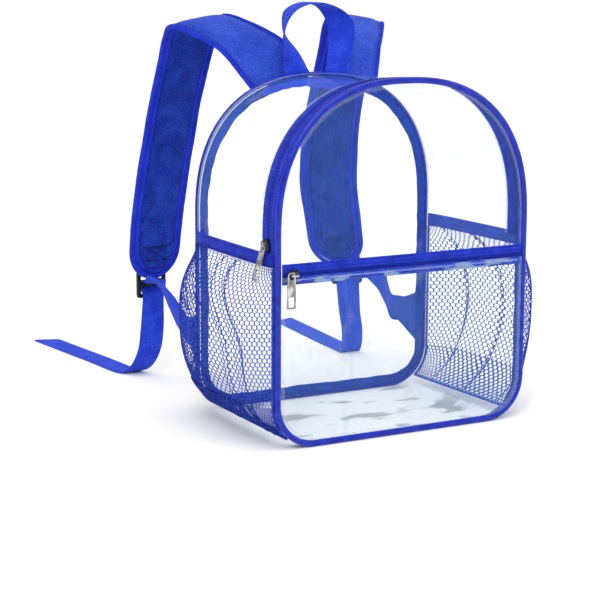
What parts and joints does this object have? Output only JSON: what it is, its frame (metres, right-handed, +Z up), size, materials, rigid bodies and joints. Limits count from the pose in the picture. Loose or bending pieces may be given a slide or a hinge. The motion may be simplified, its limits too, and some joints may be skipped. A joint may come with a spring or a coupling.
{
  "type": "clear backpack",
  "caption": "Small see-through backpack with an arched zip top, a front zip pocket, mesh side pockets, a grab handle and padded adjustable shoulder straps.",
  "frame": {"origin": "middle of the flat base, on the surface that the bag stands on", "axes": "+Z up, -Y out of the front pocket, +X to the right seen from the front"},
  "size_m": [0.3216, 0.5225, 0.3706],
  "materials": {
    "clear_film": "clear soft PVC film, glossy",
    "piping": "royal-blue extruded piping, satin",
    "tape": "royal-blue woven tape",
    "zip_coil": "royal-blue nylon zip coil",
    "webbing": "royal-blue ribbed webbing",
    "strap_cloth": "royal-blue woven polyester",
    "net": "royal-blue knitted net with hexagonal holes",
    "black_plastic": "black moulded plastic",
    "dark_metal": "dark nickel plating, polished"
  },
  "bodies": {
    "bag": {"front_piping": "piping", "back_piping": "piping", "front_panel": "clear_film", "back_panel": "clear_film", "gusset_top": "clear_film", "gusset_lower": "clear_film", "pocket_panel": "clear_film", "front_binding": "tape", "back_binding": "tape", "main_zip_tape_front": "tape", "main_zip_tape_rear": "tape", "pocket_zip_tape_upper": "tape", "pocket_zip_tape_lower": "tape", "main_zip_coil": "zip_coil", "pocket_zip_coil": "zip_coil", "main_slider": "dark_metal", "front_slider": "dark_metal", "handle": "webbing", "net_left": "net", "net_band_left": "tape", "strap_pad_left": "strap_cloth", "strap_binding_left": "tape", "ladder_lock_left": "black_plastic", "lock_loop_left": "webbing", "anchor_tab_left": "strap_cloth", "adjust_web_left": "webbing", "net_right": "net", "net_band_right": "tape", "strap_pad_right": "strap_cloth", "strap_binding_right": "tape", "ladder_lock_right": "black_plastic", "lock_loop_right": "webbing", "anchor_tab_right": "strap_cloth", "adjust_web_right": "webbing"},
    "main_pull": {"main_pull": "dark_metal"},
    "front_pull": {"front_pull": "dark_metal"}
  },
  "joints": [
    {"name": "main_pull_swing", "type": "hinge", "parent": "bag", "child": "main_pull", "pos_m": [-0.13096, -0.0641, 0.17398], "axis": [0, 1, 0], "range_deg": [0, 125]},
    {"name": "front_pull_swing", "type": "hinge", "parent": "bag", "child": "front_pull", "pos_m": [-0.1165, -0.0863, 0.151], "axis": [0, 1, 0], "range_deg": [0, 160]}
  ]
}
